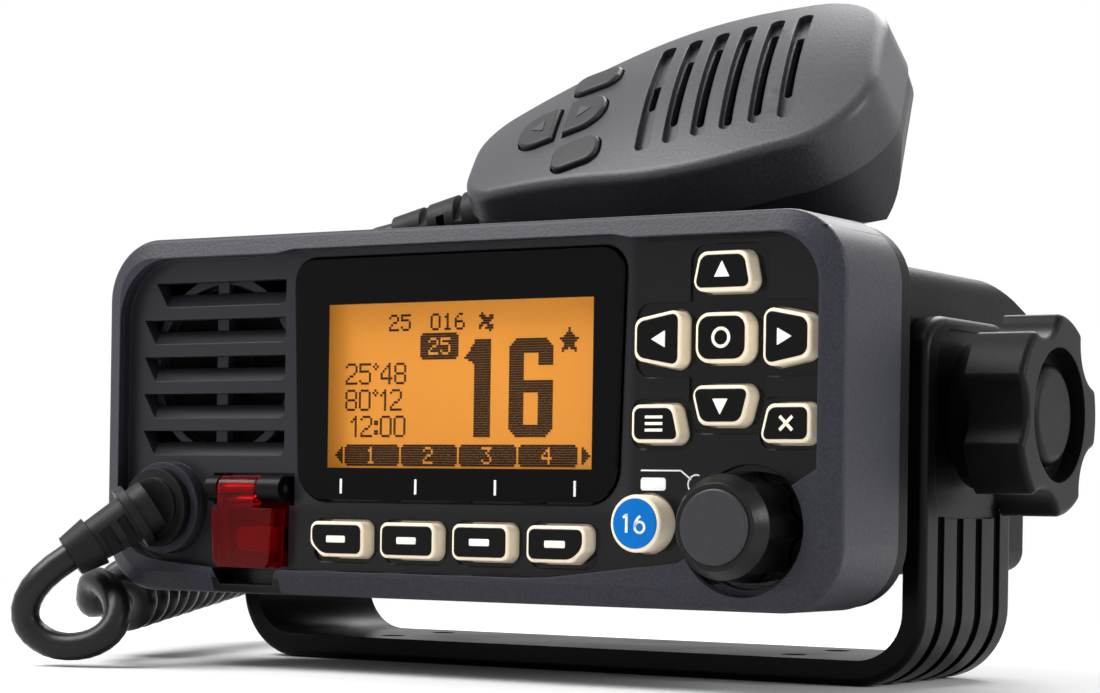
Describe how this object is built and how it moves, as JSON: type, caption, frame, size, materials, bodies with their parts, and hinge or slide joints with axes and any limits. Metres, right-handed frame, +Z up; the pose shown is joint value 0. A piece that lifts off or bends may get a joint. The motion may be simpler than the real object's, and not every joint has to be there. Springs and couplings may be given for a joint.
{
  "type": "marine radio with hand microphone",
  "caption": "Fixed-mount marine radio in a cradle bracket with clamp knobs, display, keys, dial, guarded red button and a hand microphone on a curly cord.",
  "frame": {"origin": "centre of the hole pattern in the bracket base, on the mounting surface", "axes": "+X to the right as seen from the front, +Y to the rear, +Z up; the display faces -Y"},
  "size_m": [0.2086, 0.1434, 0.1308],
  "materials": {
    "panel_plastic": "fine grained dark grey moulding",
    "window_gloss": "polished black window",
    "lcd_amber": "amber back-lit liquid crystal cell",
    "inner_plastic": "white moulded light guide and holder",
    "speaker_steel": "plated pressed steel",
    "speaker_cone": "black moulded cone",
    "key_rubber": "cream silicone rubber with black printed top",
    "key_blue": "blue silicone rubber with a pale rim",
    "circuit_board": "green glass-epoxy laminate with its components",
    "knob_black": "fine grained black",
    "knob_disc": "satin grey inlay",
    "steel_pin": "turned stainless steel",
    "encoder_metal": "die-cast housing",
    "cover_red": "clear red polycarbonate",
    "button_red": "solid red",
    "black_plastic": "satin black glass-filled moulding",
    "soft_rubber": "matt black moulded rubber",
    "chassis_metal": "die-cast, fine black powder paint",
    "screw_steel": "stainless cross-head screws",
    "connector_metal": "nickel plated",
    "mic_grey": "dark grey fine grain",
    "mic_dark": "darker grey fine grain",
    "cord_jacket": "smooth black cord jacket"
  },
  "bodies": {
    "bracket": {"bracket": "black_plastic", "bracket_washers": "soft_rubber"},
    "radio": {"front_panel": "panel_plastic", "display_window": "window_gloss", "lcd_module": "lcd_amber", "lcd_holder": "inner_plastic", "speaker_frame": "speaker_steel", "speaker_cone": "speaker_cone", "keypad_sheet": "key_rubber", "front_board": "circuit_board", "encoder_body": "encoder_metal", "hinge_bracket": "black_plastic", "cover_hinge_pin": "steel_pin", "panel_gland": "soft_rubber", "panel_gasket": "soft_rubber", "chassis": "chassis_metal", "panel_screws": "screw_steel", "main_board": "circuit_board", "power_module": "black_plastic", "shield_can": "speaker_steel", "antenna_connector": "connector_metal", "cable_grommet": "soft_rubber", "ground_screw": "screw_steel", "cord_lead": "cord_jacket", "cord_coil": "cord_jacket", "cord_tail": "cord_jacket"},
    "knob_left": {"bracket_knob_left": "black_plastic", "bracket_stud_left": "steel_pin"},
    "knob_right": {"bracket_knob_right": "black_plastic", "bracket_stud_right": "steel_pin"},
    "dial_push": {"encoder_plunger": "steel_pin"},
    "dial": {"encoder_shaft": "steel_pin", "volume_knob": "knob_black", "knob_cap": "knob_disc"},
    "distress_cover": {"distress_cover": "cover_red"},
    "distress_button": {"distress_button": "button_red"},
    "microphone": {"mic_front_shell": "mic_grey", "mic_rear_shell": "mic_dark", "mic_board": "circuit_board", "mic_speaker": "speaker_steel", "mic_hanger_button": "screw_steel", "mic_screws": "screw_steel", "mic_strain_relief": "soft_rubber"},
    "mic_ptt": {"mic_ptt": "mic_dark"},
    "key_channel_up": {"key_channel_up": "key_rubber"},
    "key_channel_down": {"key_channel_down": "key_rubber"},
    "key_left": {"key_left": "key_rubber"},
    "key_right": {"key_right": "key_rubber"},
    "key_enter": {"key_enter": "key_rubber"},
    "key_menu": {"key_menu": "key_rubber"},
    "key_clear": {"key_clear": "key_rubber"},
    "soft_key_1": {"soft_key_1": "key_rubber"},
    "soft_key_2": {"soft_key_2": "key_rubber"},
    "soft_key_3": {"soft_key_3": "key_rubber"},
    "soft_key_4": {"soft_key_4": "key_rubber"},
    "key_sixteen": {"key_sixteen": "key_blue"},
    "mic_key_down": {"mic_key_down": "mic_grey"},
    "mic_key_up": {"mic_key_up": "mic_grey"},
    "mic_key_power": {"mic_key_power": "mic_grey"},
    "mic_key_sixteen": {"mic_key_sixteen": "mic_grey"}
  },
  "joints": [
    {"name": "radio_tilt", "type": "hinge", "parent": "bracket", "child": "radio", "pos_m": [0, 0, 0.0485], "axis": [1, 0, 0], "range_deg": [-12, 12]},
    {"name": "knob_left_turn", "type": "hinge", "parent": "radio", "child": "knob_left", "pos_m": [-0.0854, 0, 0.0485], "axis": [-1, 0, 0], "continuous": true},
    {"name": "knob_right_turn", "type": "hinge", "parent": "radio", "child": "knob_right", "pos_m": [0.0854, 0, 0.0485], "axis": [1, 0, 0], "continuous": true},
    {"name": "dial_press", "type": "slide", "parent": "radio", "child": "dial_push", "axis": [0, 1, 0], "range_m": [0, 0.0005], "stiffness_N_per_m": 1500},
    {"name": "dial_turn", "type": "hinge", "parent": "dial_push", "child": "dial", "pos_m": [0.0602, -0.06, 0.0281], "axis": [0, 1, 0], "continuous": true},
    {"name": "distress_cover_lift", "type": "hinge", "parent": "radio", "child": "distress_cover", "pos_m": [-0.0439, -0.0573, 0.0335], "axis": [-1, 0, 0], "range_deg": [0, 105], "stiffness_Nm_per_rad": 0.004},
    {"name": "distress_button_press", "type": "slide", "parent": "radio", "child": "distress_button", "axis": [0, 1, 0], "range_m": [0, 0.0006], "stiffness_N_per_m": 900},
    {"name": "microphone_lift", "type": "slide", "parent": "radio", "child": "microphone", "axis": [0, 0, 1], "range_m": [0, 0.06]},
    {"name": "mic_ptt_press", "type": "slide", "parent": "microphone", "child": "mic_ptt", "axis": [0.2537, -0.7305, -0.634], "range_m": [0, 0.001], "stiffness_N_per_m": 1200},
    {"name": "key_channel_up_press", "type": "slide", "parent": "radio", "child": "key_channel_up", "axis": [0, 1, 0], "range_m": [0, 0.0006], "stiffness_N_per_m": 700},
    {"name": "key_channel_down_press", "type": "slide", "parent": "radio", "child": "key_channel_down", "axis": [0, 1, 0], "range_m": [0, 0.0006], "stiffness_N_per_m": 700},
    {"name": "key_left_press", "type": "slide", "parent": "radio", "child": "key_left", "axis": [0, 1, 0], "range_m": [0, 0.0006], "stiffness_N_per_m": 700},
    {"name": "key_right_press", "type": "slide", "parent": "radio", "child": "key_right", "axis": [0, 1, 0], "range_m": [0, 0.0006], "stiffness_N_per_m": 700},
    {"name": "key_enter_press", "type": "slide", "parent": "radio", "child": "key_enter", "axis": [0, 1, 0], "range_m": [0, 0.0006], "stiffness_N_per_m": 700},
    {"name": "key_menu_press", "type": "slide", "parent": "radio", "child": "key_menu", "axis": [0, 1, 0], "range_m": [0, 0.0006], "stiffness_N_per_m": 700},
    {"name": "key_clear_press", "type": "slide", "parent": "radio", "child": "key_clear", "axis": [0, 1, 0], "range_m": [0, 0.0006], "stiffness_N_per_m": 700},
    {"name": "soft_key_1_press", "type": "slide", "parent": "radio", "child": "soft_key_1", "axis": [0, 1, 0], "range_m": [0, 0.0006], "stiffness_N_per_m": 700},
    {"name": "soft_key_2_press", "type": "slide", "parent": "radio", "child": "soft_key_2", "axis": [0, 1, 0], "range_m": [0, 0.0006], "stiffness_N_per_m": 700},
    {"name": "soft_key_3_press", "type": "slide", "parent": "radio", "child": "soft_key_3", "axis": [0, 1, 0], "range_m": [0, 0.0006], "stiffness_N_per_m": 700},
    {"name": "soft_key_4_press", "type": "slide", "parent": "radio", "child": "soft_key_4", "axis": [0, 1, 0], "range_m": [0, 0.0006], "stiffness_N_per_m": 700},
    {"name": "key_sixteen_press", "type": "slide", "parent": "radio", "child": "key_sixteen", "axis": [0, 1, 0], "range_m": [0, 0.0006], "stiffness_N_per_m": 700},
    {"name": "mic_key_down_press", "type": "slide", "parent": "microphone", "child": "mic_key_down", "axis": [0.002, 0.6559, -0.7549], "range_m": [0, 0.0006], "stiffness_N_per_m": 700},
    {"name": "mic_key_up_press", "type": "slide", "parent": "microphone", "child": "mic_key_up", "axis": [0.002, 0.6559, -0.7549], "range_m": [0, 0.0006], "stiffness_N_per_m": 700},
    {"name": "mic_key_power_press", "type": "slide", "parent": "microphone", "child": "mic_key_power", "axis": [0.002, 0.6559, -0.7549], "range_m": [0, 0.0006], "stiffness_N_per_m": 700},
    {"name": "mic_key_sixteen_press", "type": "slide", "parent": "microphone", "child": "mic_key_sixteen", "axis": [0.002, 0.6559, -0.7549], "range_m": [0, 0.0006], "stiffness_N_per_m": 700}
  ]
}
